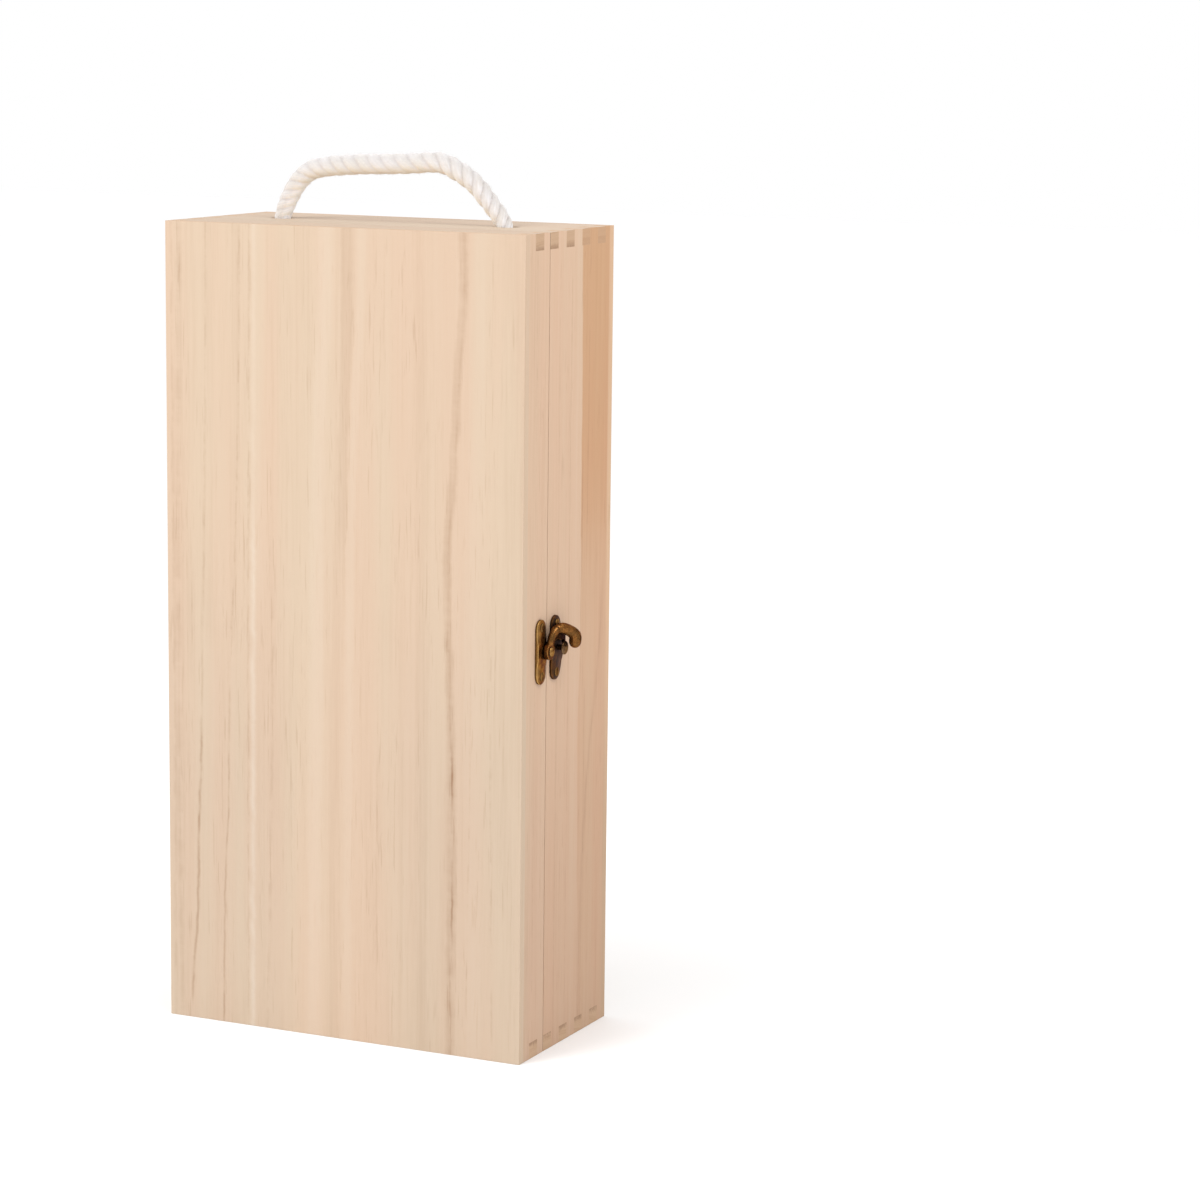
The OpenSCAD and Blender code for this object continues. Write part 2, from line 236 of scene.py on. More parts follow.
def wood(
    name,
    grain,
    wide,
    base,
    dark,
    light,
    seed,
    pith=(40.0, 160.0),
    bands=1.0,
    rings=1.0,
    fibre=1.0,
    pores=1.0,
    marks=(),
    zone=None,
    joint_shade_and_tearout=None,
    fade=None,
    edge=None,
    flecks=1.0,
    end_tint=None,
):
    """Bare sanded pale wood. grain and wide are the axes along and across the board's face.
    pith is where the middle of the growth rings lies across and behind the board, in mm.
    marks are (points (along, across), half width, darkness, from, to, breaks) of single streaks.
    zone and fade give a share and a tint that multiplies the colour there."""
    p = Paint(name)
    tc = p.n("ShaderNodeTexCoord")
    mm = p.n("ShaderNodeVectorMath", operation="SCALE")
    p.put(mm.inputs[0], tc.outputs["Object"])
    mm.inputs["Scale"].default_value = 1000.0
    axes = p.parts(mm.outputs[0])
    g, w = AXES[grain], AXES[wide]
    v = 3 - g - w
    L, U, V = axes[g], axes[w], axes[v]
    rnd = random.Random(seed)
    ou, ov, ol = (rnd.uniform(50, 900) for _ in range(3))
    u, vv, l = p.add(U, ou), p.add(V, ov), p.add(L, ol)

    # slow wander of the grain
    wander = p.noise(
        p.xyz(p.mul(u, 0.012), p.mul(vv, 0.012), p.mul(l, 0.0042)), detail=2.0
    )
    wander = p.mul(p.sub(wander, 0.5), 7.0)
    us = p.add(U, wander)
    # growth rings round the pith
    du, dv = p.sub(us, pith[0]), p.sub(V, pith[1])
    r = p.math("SQRT", p.add(p.mul(du, du), p.mul(dv, dv)))
    r = p.add(r, ou)

    broad = p.noise(p.xyz(p.mul(r, 0.085), 0.0, p.mul(l, 0.0016)), detail=2.0)
    medium = p.noise(p.xyz(p.mul(r, 0.34), 3.0, p.mul(l, 0.0030)), detail=3.0)
    ringv = p.noise1(r, scale=0.42, detail=1.0)
    ring = p.math("FRACT", p.add(p.mul(r, 0.19), p.mul(ringv, 1.4)))
    late = p.mul(p.span(ring, 0.62, 0.93), p.span(ring, 1.0, 0.95))
    late = p.mul(late, p.span(broad, 0.35, 0.75, 0.25, 1.0))
    fine = p.noise(
        p.xyz(p.mul(u, 0.75), p.mul(vv, 0.75), p.mul(l, 0.016)), detail=4.0, rough=0.6
    )
    hair = p.noise(
        p.xyz(p.mul(u, 4.3), p.mul(vv, 4.3), p.mul(l, 0.09)), detail=3.0, rough=0.6
    )
    # soft cream and peach, wider than the rings
    peach = p.noise(
        p.xyz(p.mul(us, 0.055), p.mul(vv, 0.05), p.add(p.mul(l, 0.0022), 7.0)), detail=2.0
    )
    # soft short flecks
    fleck = p.noise(
        p.xyz(p.mul(u, 0.95), p.mul(vv, 0.95), p.add(p.mul(l, 0.045), 3.0)), detail=2.0, rough=0.5
    )
    patch = p.noise(
        p.xyz(p.mul(u, 0.02), p.mul(vv, 0.02), p.mul(l, 0.005)), detail=2.0
    )
    # short open pores, in families
    pore = p.noise(
        p.xyz(p.mul(u, 3.1), p.mul(vv, 3.1), p.mul(l, 0.11)), detail=2.0, rough=0.5
    )
    family = p.noise(
        p.xyz(p.mul(u, 0.10), p.mul(vv, 0.10), p.mul(l, 0.008)), detail=2.0
    )
    pore = p.mul(p.span(pore, 0.64, 0.74), p.span(family, 0.42, 0.62, 0.06, 1.0))
    fleck = p.mul(p.span(fleck, 0.585, 0.70), p.span(family, 0.38, 0.60, 0.10, 1.0))

    darkness = p.add(
        p.mul(p.sub(0.5, broad), 0.34 * bands),
        p.mul(p.sub(0.5, medium), 0.36 * bands),
        p.mul(late, 0.09 * rings),
        p.mul(p.sub(fine, 0.5), 0.26 * fibre),
        p.mul(p.sub(hair, 0.5), 0.10 * fibre),
        p.mul(pore, 0.14 * pores),
        p.mul(fleck, 0.15 * flecks),
    )
    for points, half, amount, lo, hi, breaks in marks:
        f = p.math("DIVIDE", L, 350.0)
        c = p.curve(f, [(a / 350.0, (b + 90.0) / 180.0) for a, b in points])
        c = p.sub(p.mul(c, 180.0), 90.0)
        wob = p.mul(p.sub(p.noise1(l, scale=0.09, detail=4.0, rough=0.6), 0.5), 1.9 * min(1, half))
        d = p.math("DIVIDE", p.sub(p.add(U, wob), c), half)
        d = p.mul(d, d)
        if half > 2.0:
            d = p.mul(d, d)
        m = p.math("POWER", math.e, p.mul(d, -1.0))
        if lo is not None:
            m = p.mul(m, p.span(L, lo - 12.0, lo + 12.0))
        if hi is not None:
            m = p.mul(m, p.span(L, hi + 12.0, hi - 12.0))
        if breaks:
            bn = p.noise1(p.add(l, half * 37.0 + points[0][1]), scale=0.045, detail=4.0, rough=0.7)
            m = p.mul(m, p.span(bn, 0.5 - 0.25 / breaks, 0.5 + 0.2, 0.12, 1.25))
        darkness = p.add(darkness, p.mul(m, amount))

    # colour: from the base to the dark one, or to the light one
    base_c = p.mix(
        p.span(p.add(p.mul(peach, 0.75), p.mul(patch, 0.25)), 0.36, 0.64),
        rgb(base[0], base[1] + 2, base[2] + 1, WOOD_K),
        rgb(base[0] + 1, base[1] - 2, base[2] - 3, WOOD_K),
    )
    colour = p.mix(p.math("MULTIPLY", darkness, -1.0, clamp=True), base_c, rgb(*light, WOOD_K))
    colour = p.mix(p.math("MULTIPLY", darkness, 1.0, clamp=True), colour, rgb(*dark, WOOD_K))
    for share in (zone, fade):
        if share is not None:
            m, tint = share(p, L, U, V, l, u)
            colour = p.mix(m, colour, (*tint, 1.0), "MULTIPLY")
    if edge is not None:
        side_on = p.span(p.math("ABSOLUTE", p.parts(tc.outputs["Normal"])[w]), 0.6, 0.85)
        colour = p.mix(side_on, colour, (*edge, 1.0), "MULTIPLY")

    # end grain: greyer and darker, with rings and open pores
    turn = p.parts(tc.outputs["Normal"])[g]
    end = p.span(p.math("ABSOLUTE", turn), 0.55, 0.85)
    dots = p.noise(p.xyz(p.mul(u, 2.6), p.mul(vv, 2.6), p.mul(l, 0.4)), detail=4.0, rough=0.7)
    arcs = p.add(p.mul(late, 0.35), p.mul(p.sub(dots, 0.5), 1.0), p.mul(p.sub(0.5, medium), 0.7))
    end_c = p.mix(
        p.math("ADD", arcs, 0.25, clamp=True), rgb(224, 188, 154, WOOD_K), rgb(188, 146, 108, WOOD_K)
    )
    if end_tint is not None:
        end_c = p.mix(1.0, end_c, (*end_tint, 1.0), "MULTIPLY")
    # the foot of each finger: painted shade of the joint gap, together with tear-out
    if joint_shade_and_tearout is not None:
        foot, rear = joint_shade_and_tearout(p, axes)
        end_c = p.mix(foot, end_c, rgb(140, 98, 66, WOOD_K))
        end_c = p.mix(rear, end_c, (1.0, 0.93, 0.86, 1.0), "MULTIPLY")
    colour = p.mix(end, colour, end_c)
    p.put(p.b.inputs["Base Color"], colour)

    rough = p.add(0.60, p.mul(p.sub(fine, 0.5), 0.20), p.mul(pore, 0.15))
    p.put(p.b.inputs["Roughness"], rough)
    p.set(Specular_IOR_Level=0.32, Diffuse_Roughness=0.35)
    height = p.add(
        p.mul(fine, 0.5), p.mul(hair, 0.5), p.mul(pore, -0.9), p.mul(p.mul(dots, end), 0.9)
    )
    p.put(p.b.inputs["Normal"], p.bump(height, 0.35, 0.00012))
    return p.m


def soften(node, width=0.25, segments=2):
    """Eases the sharp edges of a board, as sanding does."""
    ob = nodes[node]
    d = ob.modifiers.new("flat", "DECIMATE")
    d.decimate_type = "DISSOLVE"
    d.angle_limit = math.radians(0.6)
    b = ob.modifiers.new("ease", "BEVEL")
    b.width = width * MM
    b.segments = segments
    b.limit_method = "ANGLE"
    b.angle_limit = math.radians(40)
    b.use_clamp_overlap = False
    b.harden_normals = True
    ob.data.shade_smooth()


front_marks = (
    # the brown streak right of the middle, a soft band with a sharp core
    (
        [(350, 57.3), (330, 57.6), (291, 55.2), (252, 53.4), (212, 50.6), (180, 51.4),
         (120, 53.3), (63, 53.7), (42, 53.0), (0, 53.1)],
        2.25, 0.17, None, None, 0.5,
    ),
    (
        [(350, 57.7), (330, 58.2), (291, 55.9), (252, 54.0), (212, 51.2), (180, 51.6),
         (120, 53.2), (63, 53.6), (42, 52.9), (0, 53.0)],
        0.7, 0.10, 190, None, 1.2,
    ),
    (
        [(350, 56.9), (212, 50.3), (180, 51.0), (120, 53.2), (63, 53.6), (42, 52.9), (0, 53.0)],
        0.6, 0.15, None, 190, 2,
    ),
    ([(126, 53.4), (116, 53.5)], 0.5, 0.55, 113, 129, 0),
    ([(67, 53.7), (57, 53.7)], 0.5, 0.50, 55, 70, 0),
    # fine dark lines low on the left
    ([(130, -69.6), (80, -71.2), (48, -71.9), (22, -74.2), (0, -75.2)], 0.7, 0.34, 8, 130, 0.6),
    ([(350, -66.0), (240, -67.2), (160, -68.8), (125, -69.6)], 0.6, 0.14, 120, None, 1.4),
    ([(350, -83.2), (160, -83.0), (0, -83.4)], 0.7, 0.13, None, None, 1.0),
    ([(105, -55.8), (71, -57.5), (35, -58.4), (0, -58.9)], 0.5, 0.26, None, 122, 0.7),
    ([(350, -49.4), (305, -49.7), (230, -51.5), (120, -55.5)], 0.55, 0.18, 110, None, 2),
    # the light band and the line beside it
    ([(350, -42.4), (189, -43.2), (0, -44.1)], 1.2, -0.24, None, None, 0.5),
    ([(350, -42.4), (189, -43.2), (0, -44.1)], 1.2, -0.24, None, 215, 0.5),
    ([(350, -39.6), (200, -40.5)], 3.6, -0.07, 190, None, 0),
    ([(350, -64.0), (180, -65.5)], 3.6, 0.05, 170, None, 0),
    ([(350, -51.2), (180, -52.5)], 2.2, 0.05, 170, None, 0),
    ([(350, -75.5), (180, -76.5)], 6.5, 0.03, 150, None, 0),
    ([(350, -44.6), (189, -45.6), (0, -46.4)], 0.6, 0.16, None, None, 1.2),
    ([(350, -35.4), (280, -36.6), (190, -33.6), (0, -36.6)], 0.8, 0.12, None, 190, 1.4),
    # soft bands in the middle
    ([(340, -7.3), (256, -11.2), (148, -12.3), (0, -13.6)], 3.6, -0.22, None, None, 0),
    ([(341, 2.8), (257, 1.4), (149, -2.6), (0, -4.4)], 3.2, 0.07, None, None, 0),
    ([(341, 2.8), (257, 1.4), (215, 0.0)], 3.2, 0.05, 215, None, 0),
    ([(341, 9.9), (257, 5.4), (149, 4.0), (0, 2.8)], 2.2, -0.15, None, None, 0),
    ([(341, 36.5), (259, 38.5), (0, 38.8)], 3.0, 0.07, None, None, 0),
    ([(350, 21.0), (180, 18.0), (0, 17.0)], 0.5, 0.06, None, None, 2),
    ([(350, 66.0), (180, 63.0), (0, 64.0)], 3.5, -0.08, None, None, 0),
    ([(200, 71.0), (0, 73.0)], 0.5, 0.14, None, 190, 2),
    ([(200, 62.0), (0, 60.5)], 0.5, 0.12, None, 180, 2),
    ([(350, -79.5), (150, -81.0), (0, -80.0)], 1.6, 0.13, None, None, 1),
)

FRONT = dict(base=(234, 208, 182), dark=(158, 108, 58), light=(247, 230, 210))
SIDE = dict(base=(234, 199, 169), dark=(152, 98, 56), light=(245, 222, 198))
END = dict(base=(222, 195, 168), dark=(156, 110, 74), light=(236, 214, 190))


def front_painted_shade(p, L, U, V, l, u):
    """Painted shade: the front darker and greyer towards the base, left and right of a pale middle."""
    wob = p.mul(p.sub(p.noise(p.xyz(p.mul(u, 0.05), 0.0, p.mul(l, 0.008)), detail=2.0), 0.5), 50.0)
    low = p.span(p.add(L, wob), 235.0, 95.0)
    mid = p.mul(p.span(U, -34.0, -17.0), p.span(U, 44.0, 4.0))
    return p.mul(low, p.sub(1.0, p.mul(mid, 0.85))), (0.945, 0.952, 0.966)


def back_fade(p, L, U, V, l, u):
    """The right edge of the back panel, as brown as the side that it closes."""
    out = p.span(p.math("ABSOLUTE", U), 84.6, 85.4)
    return p.mul(out, p.span(L, 200.0, 60.0, 0.0, 1.0)), (0.80, 0.82, 0.84)


# painted shade: the lid's right side darker towards the base
def side_painted_shade(p, L, U, V, l, u):
    return p.span(L, 240.0, 20.0), (0.885, 0.88, 0.885)


# painted shade: the body's right side darker and warmer towards the base
def body_side_painted_shade(p, L, U, V, l, u):
    return p.span(L, 240.0, 20.0), (0.863, 0.82, 0.795)


def top_fade(p, L, U, V, l, u):
    """The top and the base, handled and a little greyer than the inside."""
    return p.add(p.span(V, 348.8, 349.6), p.span(V, 0.9, 0.3)), (0.87, 0.90, 0.94)



def rear_tone(p, L, U, V, l, u):
    """The right side's heartwood: a browner strip along its back, fading towards the base."""
    edge = p.curve(
        p.math("DIVIDE", L, 350.0),
        [(0.0, 0.140), (0.14, 0.138), (0.27, 0.119), (0.40, 0.118), (0.50, 0.129),
         (0.58, 0.132), (0.65, 0.128), (0.74, 0.129), (1.0, 0.118)],
    )
    edge = p.mul(edge, 100.0)
    wob = p.mul(p.sub(p.noise1(l, scale=0.03, detail=2.0), 0.5), 1.6)
    m = p.span(p.sub(p.add(U, wob), edge), -0.6, 0.8)
    back = p.mul(p.span(U, 37.5, 40.0), p.span(L, 20.0, 120.0))
    depth = p.curve(
        p.math("DIVIDE", L, 350.0),
        [(0.0, 0.20), (0.17, 0.28), (0.31, 0.36), (0.43, 0.38), (0.54, 0.48), (0.62, 0.70),
         (0.67, 0.90), (0.75, 1.0), (1.0, 1.0)],
    )
    m = p.math("MAXIMUM", p.mul(m, depth), p.mul(back, 0.8))
    return m, (0.875, 0.72, 0.565)


side_marks = (
    (
        [(350, 35.0), (193, 34.6), (175, 33.2), (158, 30.5), (141, 27.0), (120, 22.5), (94, 19.0),
         (67, 16.6), (40, 15.0), (0, 14.8)],
        2.0, 0.09, None, 195, 0,
    ),
    (
        [(350, 35.0), (193, 34.6), (175, 33.2), (158, 30.5), (141, 27.0), (120, 22.5), (94, 19.0),
         (67, 16.6), (40, 15.0), (0, 14.8)],
        0.5, 0.12, None, 195, 1.6,
    ),
    ([(350, 13.6), (239, 14.0), (200, 14.2), (0, 14.0)], 0.6, 0.20, 200, 252, 0.6),
    ([(350, -31.0), (0, -31.0)], 0.5, 0.10, None, None, 2),
    ([(350, -9.0), (0, -10.0)], 0.6, 0.12, None, None, 1),
    ([(350, 2.0), (0, 1.0)], 0.5, 0.14, None, None, 1),
    ([(350, 8.4), (0, 7.0)], 1.2, -0.12, None, None, 0),
    ([(350, 20.0), (0, 17.0)], 0.6, 0.10, None, None, 1),
)


def finger_tips(p, axes):
    """The darker, blotchy foot of each finger's end grain, painted as the shade of the joint gap together with
    tear-out, and the fingers in the browner strip.
    """
    z = axes[2]
    up = p.span(z, 300.0, 310.0)
    blots = p.noise(p.xyz(p.mul(axes[1], 0.55), p.mul(axes[1], 0.3), p.mul(z, 0.55)), detail=2.0)
    lift = p.mul(p.sub(blots, 0.5), 3.0)
    top = p.mul(p.span(p.add(z, lift), 345.8, 343.0), up)
    low = p.mul(p.span(p.add(z, lift), 4.2, 7.0), p.span(z, 40.0, 30.0))
    rear = p.mul(p.span(axes[1], 10.0, 11.5), up)
    foot = p.mul(p.mul(p.add(top, low), p.sub(0.50, p.mul(rear, 0.42))), p.span(blots, 0.30, 0.58, 0.55, 1.1))
    return foot, rear


back_marks = (
    ([(350, -38.0), (230, -36.5), (120, -39.0), (0, -37.0)], 2.4, 0.10, None, None, 0.6),
    ([(350, -37.6), (230, -36.2), (120, -38.7), (0, -36.8)], 0.6, 0.18, None, None, 1.4),
    ([(350, 12.0), (200, 15.0), (80, 13.5), (0, 14.5)], 3.4, -0.18, None, None, 0),
    ([(350, 44.0), (210, 41.0), (90, 43.5), (0, 42.0)], 0.6, 0.20, None, None, 1.3),
    ([(350, 45.5), (210, 42.5), (90, 45.0), (0, 43.5)], 2.2, 0.08, None, None, 0),
    ([(350, 67.0), (160, 68.5), (0, 67.0)], 1.4, 0.12, None, None, 1),
    ([(170, -62.0), (80, -63.5), (0, -62.5)], 0.6, 0.30, None, 150, 1.0),
    ([(350, -12.0), (180, -10.0), (0, -11.0)], 1.1, -0.30, None, None, 0.6),
    ([(350, -70.0), (180, -72.0), (0, -71.0)], 3.0, 0.08, None, None, 0),
    ([(350, 0.0), (180, 2.0), (0, 1.0)], 0.5, 0.14, None, None, 1.6),
)
left_marks = (
    ([(350, -8.0), (180, -6.0), (0, -9.0)], 0.6, 0.20, None, None, 1.3),
    ([(350, 22.0), (200, 24.5), (60, 22.0), (0, 23.0)], 2.2, 0.10, None, None, 0.8),
    ([(350, 22.4), (200, 24.9), (60, 22.4), (0, 23.4)], 0.5, 0.20, None, None, 1.4),
    ([(350, 30.5), (0, 29.5)], 0.5, 0.16, None, None, 1.6),
    ([(350, 12.0), (0, 10.0)], 1.6, -0.20, None, None, 0),
    ([(350, -31.0), (180, -29.5), (0, -31.0)], 0.6, 0.18, None, None, 1.4),
    ([(350, -26.0), (0, -25.0)], 1.4, -0.16, None, None, 0),
)
END_TINT = (0.93, 0.96, 1.0)


woods = {
    "lid_panel": wood("wood_front", "z", "x", seed=11, marks=front_marks, pith=(-30, 900),
                      bands=0.85, rings=0.5, fibre=0.95, pores=0.7, flecks=1.1,
                      fade=front_painted_shade, edge=(0.95, 0.92, 0.88), end_tint=END_TINT, **FRONT),
    "back_panel": wood("wood_back", "z", "x", seed=23, pith=(30, -220), bands=1.0, rings=1.6,
                       marks=back_marks, fade=back_fade, edge=(1.0, 0.86, 0.735), end_tint=END_TINT,
                       **FRONT),
    "body_side_right": wood("wood_side_right", "z", "y", seed=31, pith=(10, 900), bands=0.5,
                            rings=0.6, marks=side_marks, zone=rear_tone, fade=body_side_painted_shade,
                            end_tint=END_TINT, **SIDE),
    "lid_side_right": wood("wood_lid_side_right", "z", "y", seed=31, pith=(10, 900), bands=0.5,
                           rings=0.6, marks=side_marks, fade=side_painted_shade, end_tint=END_TINT, **SIDE),
    "body_side_left": wood("wood_side_left", "z", "y", seed=47, pith=(-60, -300), bands=1.0,
                           rings=1.3, marks=left_marks, end_tint=END_TINT, **SIDE),
    "lid_side_left": wood("wood_lid_side_left", "z", "y", seed=47, pith=(-60, -300), bands=1.0,
                          rings=1.3, marks=left_marks, end_tint=END_TINT, **SIDE),
    "body_top_end": wood("wood_top_end", "x", "y", seed=59, pith=(20, -120), joint_shade_and_tearout=finger_tips,
                         fade=top_fade, **END),
    "lid_top_end": wood("wood_lid_top_end", "x", "y", seed=61, pith=(20, -120), joint_shade_and_tearout=finger_tips,
                         fade=top_fade, **END),
    "body_bottom_end": wood("wood_bottom_end", "x", "y", seed=67, pith=(-20, -140), joint_shade_and_tearout=finger_tips,
                         fade=top_fade, **END),
    "lid_bottom_end": wood("wood_lid_bottom_end", "x", "y", seed=71, pith=(-20, -140), joint_shade_and_tearout=finger_tips,
                         fade=top_fade, **END),
    "divider": wood("wood_divider", "z", "y", seed=83, pith=(10, -260), bands=0.8, **FRONT),
}
for node, mat in woods.items():
    paint(nodes[node], mat)
    soften(node, 0.26 if node in ("lid_panel", "back_panel") else 0.12)

# ------------------------------------------------------------------ bronze


def bronze(
    name, seed, wear_and_highlight_share=1.0, deep=(78, 42, 20), warm=(122, 70, 32), wear_and_highlight_colour=(216, 176, 108), metal=0.8,
    shine=0.27, corners=1.0, lean=0.0, mottle=0.6
):
    """Antique bronze plating: nearly black in the hollows, from patina and painted shade; brown on the flats; yellow on
    the edges, from wear and a painted highlight along the ridges.
    """
    p = Paint(name)
    tc = p.n("ShaderNodeTexCoord")
    mm = p.n("ShaderNodeVectorMath", operation="SCALE")
    p.put(mm.inputs[0], tc.outputs["Object"])
    mm.inputs["Scale"].default_value = 1000.0
    at = p.n("ShaderNodeVectorMath", operation="ADD")
    p.put(at.inputs[0], mm.outputs[0])
    at.inputs[1].default_value = (seed * 7.3, seed * 3.1, seed * 5.7)
    geo = p.n("ShaderNodeNewGeometry")
    point = geo.outputs["Pointiness"]
    blot = p.noise(at.outputs[0], scale=0.35, detail=3.0)
    grit = p.noise(at.outputs[0], scale=2.6, detail=4.0, rough=0.65)
    ao = p.n("ShaderNodeAmbientOcclusion", samples=8)
    ao.inputs["Distance"].default_value = 0.0040
    edge = p.add(
        p.mul(p.span(point, 0.50, 0.58), corners), p.mul(p.sub(grit, 0.5), 0.55),
        p.mul(p.sub(blot, 0.5), 0.5),
    )
    # hollow: the patina of the hollows, together with painted shade where one part lies close under another, such as
    # the catch plate under the hook
    hollow = p.add(
        p.span(ao.outputs["AO"], 0.35, 0.80, 1.0, 0.0), p.span(point, 0.495, 0.44, 0.0, 0.8)
    )
    flat = p.mix(
        p.span(blot, 0.38, 0.62), rgb(*deep), rgb(*warm)
    )
    flat = p.mix(p.mul(p.span(grit, 0.40, 0.75), mottle * wear_and_highlight_share), flat, rgb(150, 106, 54))
    # the edges: wear, together with a painted highlight along the ridges
    c = p.mix(p.math("MULTIPLY", edge, 0.85 * wear_and_highlight_share, clamp=True), flat, rgb(*wear_and_highlight_colour))
    if lean:
        # painted highlight on the faces turned to the front, and painted shade on the faces turned to the back
        n = p.parts(tc.outputs["Normal"])[1]
        c = p.mix(p.mul(p.span(n, -0.04, -0.45), 0.7 * lean), c, rgb(*wear_and_highlight_colour))
        c = p.mix(p.mul(p.span(n, -0.02, 0.40), lean), c, rgb(34, 16, 9))
    # near-black patina and painted shade in the hollows
    c = p.mix(p.math("MULTIPLY", hollow, 0.96, clamp=True), c, rgb(26, 8, 6))
    p.put(p.b.inputs["Base Color"], c)
    p.set(Metallic=metal, Specular_IOR_Level=0.3)
    p.b.inputs["Specular Tint"].default_value = (0.60, 0.42, 0.26, 1.0)
    p.put(p.b.inputs["Roughness"], p.add(shine, p.mul(p.sub(grit, 0.5), 0.3), p.mul(hollow, 0.2)))
    p.put(p.b.inputs["Normal"], p.bump(p.add(grit, p.mul(blot, 0.6)), 0.28, 0.00010))
    return p.m


latch_metal = bronze("bronze_latch", 3, 1.0, deep=(84, 45, 18), warm=(126, 79, 35), wear_and_highlight_colour=(212, 171, 104),
                     lean=0.75, mottle=0.3)
rivet_metal = bronze("bronze_rivet", 3, 1.0, deep=(86, 50, 23), warm=(136, 96, 49), wear_and_highlight_colour=(222, 190, 128))
# painted shade: the catch plate is coloured darker all over, for the shade it lies in beside the hook
catch_metal = bronze("bronze_catch", 13, 0.6, deep=(20, 7, 4), warm=(46, 18, 8), wear_and_highlight_colour=(160, 106, 56),
                     metal=0.6, shine=0.38, lean=0.2)
knob_metal = bronze("bronze_knob", 17, 0.8, deep=(52, 34, 22), warm=(90, 67, 48), wear_and_highlight_colour=(190, 168, 136))
hook_metal = bronze("bronze_hook", 9, 1.0, deep=(46, 19, 8), warm=(97, 50, 20), wear_and_highlight_colour=(190, 139, 76), lean=0.2)
hinge_metal = bronze("bronze_hinge", 5, 0.9, deep=(76, 46, 24), warm=(124, 86, 46), wear_and_highlight_colour=(214, 178, 116), mottle=0.35)
screw_metal = bronze("bronze_screw", 7, 0.6, deep=(84, 52, 28), warm=(130, 90, 50), corners=0.35)


def cast(node, voxel, rounds, mat, body, dome=None):
    """A CAD piece with the soft rounded edges of a small casting, as one smooth mesh.
    dome is the middle line (y in mm) of a plate whose face is pressed slightly convex."""
    me = nodes[node].data.copy()
    ob = bpy.data.objects.new("cast_" + node, me)
    scene.collection.objects.link(ob)
    bm = bmesh.new()
    bm.from_mesh(me)
    bmesh.ops.remove_doubles(bm, verts=bm.verts, dist=2e-6)
    bm.to_mesh(me)
    bm.free()
    r = ob.modifiers.new("remesh", "REMESH")
    r.mode = "VOXEL"
    r.voxel_size = voxel * MM
    r.use_smooth_shade = True
    s = ob.modifiers.new("smooth", "SMOOTH")
    s.factor = 0.5
    s.iterations = rounds
    bpy.context.view_layer.update()
    done = bpy.data.meshes.new_from_object(
        ob.evaluated_get(bpy.context.evaluated_depsgraph_get())
    )
    ob.modifiers.clear()
    ob.data = done
    if dome is not None:
        co = np.empty(len(done.vertices) * 3)
        done.vertices.foreach_get("co", co)
        co = co.reshape(-1, 3) / MM
        out, y, z = co[:, 0] - 86.0, co[:, 1] - dome, co[:, 2] - 175.0
        reach = np.hypot(y, np.clip(np.abs(z) - 9.55, 0, None)) / 4.25
        away = np.clip((np.abs(z) - 3.5) / 3.0, 0, 1)
        drop = 0.36 * np.clip(reach, 0, 1) ** 2 * away * np.clip(out / 1.6, 0, 1)
        co[:, 0] -= drop * 1.6
        done.vertices.foreach_set("co", (co * MM).ravel())
        done.update()
    done.shade_smooth()
    paint(ob, mat)
    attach(ob, body)
    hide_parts(node)
    return ob


cast("latch_lid_plate", 0.14, 7, latch_metal, "lid", dome=-26.55)
cast("latch_body_plate", 0.14, 7, catch_metal, "carcass", dome=-12.65)
cast("latch_hook", 0.13, 26, hook_metal, "hook")
cast("latch_catch_knob", 0.11, 5, knob_metal, "carcass")
cast("latch_pivot_rivet", 0.10, 5, rivet_metal, "lid")
for level in ("upper", "lower"):
    cast(level + "_hinge_body_leaf", 0.17, 3, hinge_metal, "carcass")
    cast(level + "_hinge_lid_leaf", 0.17, 3, hinge_metal, "lid")
    cast(level + "_hinge_pin", 0.12, 3, hinge_metal, "carcass")
for node in nodes:
    if node.endswith("_screws"):
        paint(nodes[node], screw_metal)
        b = nodes[node].modifiers.new("ease", "BEVEL")
        b.width = 0.10 * MM
        b.segments = 2
        b.limit_method = "ANGLE"
        b.angle_limit = math.radians(35)
        b.harden_normals = True
        nodes[node].data.shade_smooth()

# ------------------------------------------------------------------ rope

ROPE_R = 4.4
ROPE_K = 0.80
BOX_H = 350.0
ARCH = [
    (-55.0, 4, 341.0), (-55.0, 4, 343.5), (-55.0, 4, 346.0), (-54.9, 4, 348.2),
    (-54.5, 4, 350.5), (-54.0, 4, 352.6),
    (-53.2, 4, 354.8), (-51.8, 4, 358.3), (-49.2, 4, 362.8), (-45.4, 4, 367.2),
    (-40.5, 4, 370.6), (-34.0, 4, 372.3), (-25.0, 4, 373.2), (-15.0, 4, 373.9),
    (-3.0, 4, 374.3), (9.0, 4, 374.9), (17.5, 4, 375.6), (23.0, 4, 375.4),
    (28.5, 4, 373.4), (35.0, 4, 369.8), (39.8, 4, 366.2), (44.4, 4, 361.4),
    (48.4, 4, 357.1), (50.5, 4, 354.8), (52.2, 4, 352.5), (53.5, 4, 350.2),
    (54.5, 4, 347.5), (54.9, 4, 345.2), (55.0, 4, 343.2), (55.0, 4, 341.0),
]


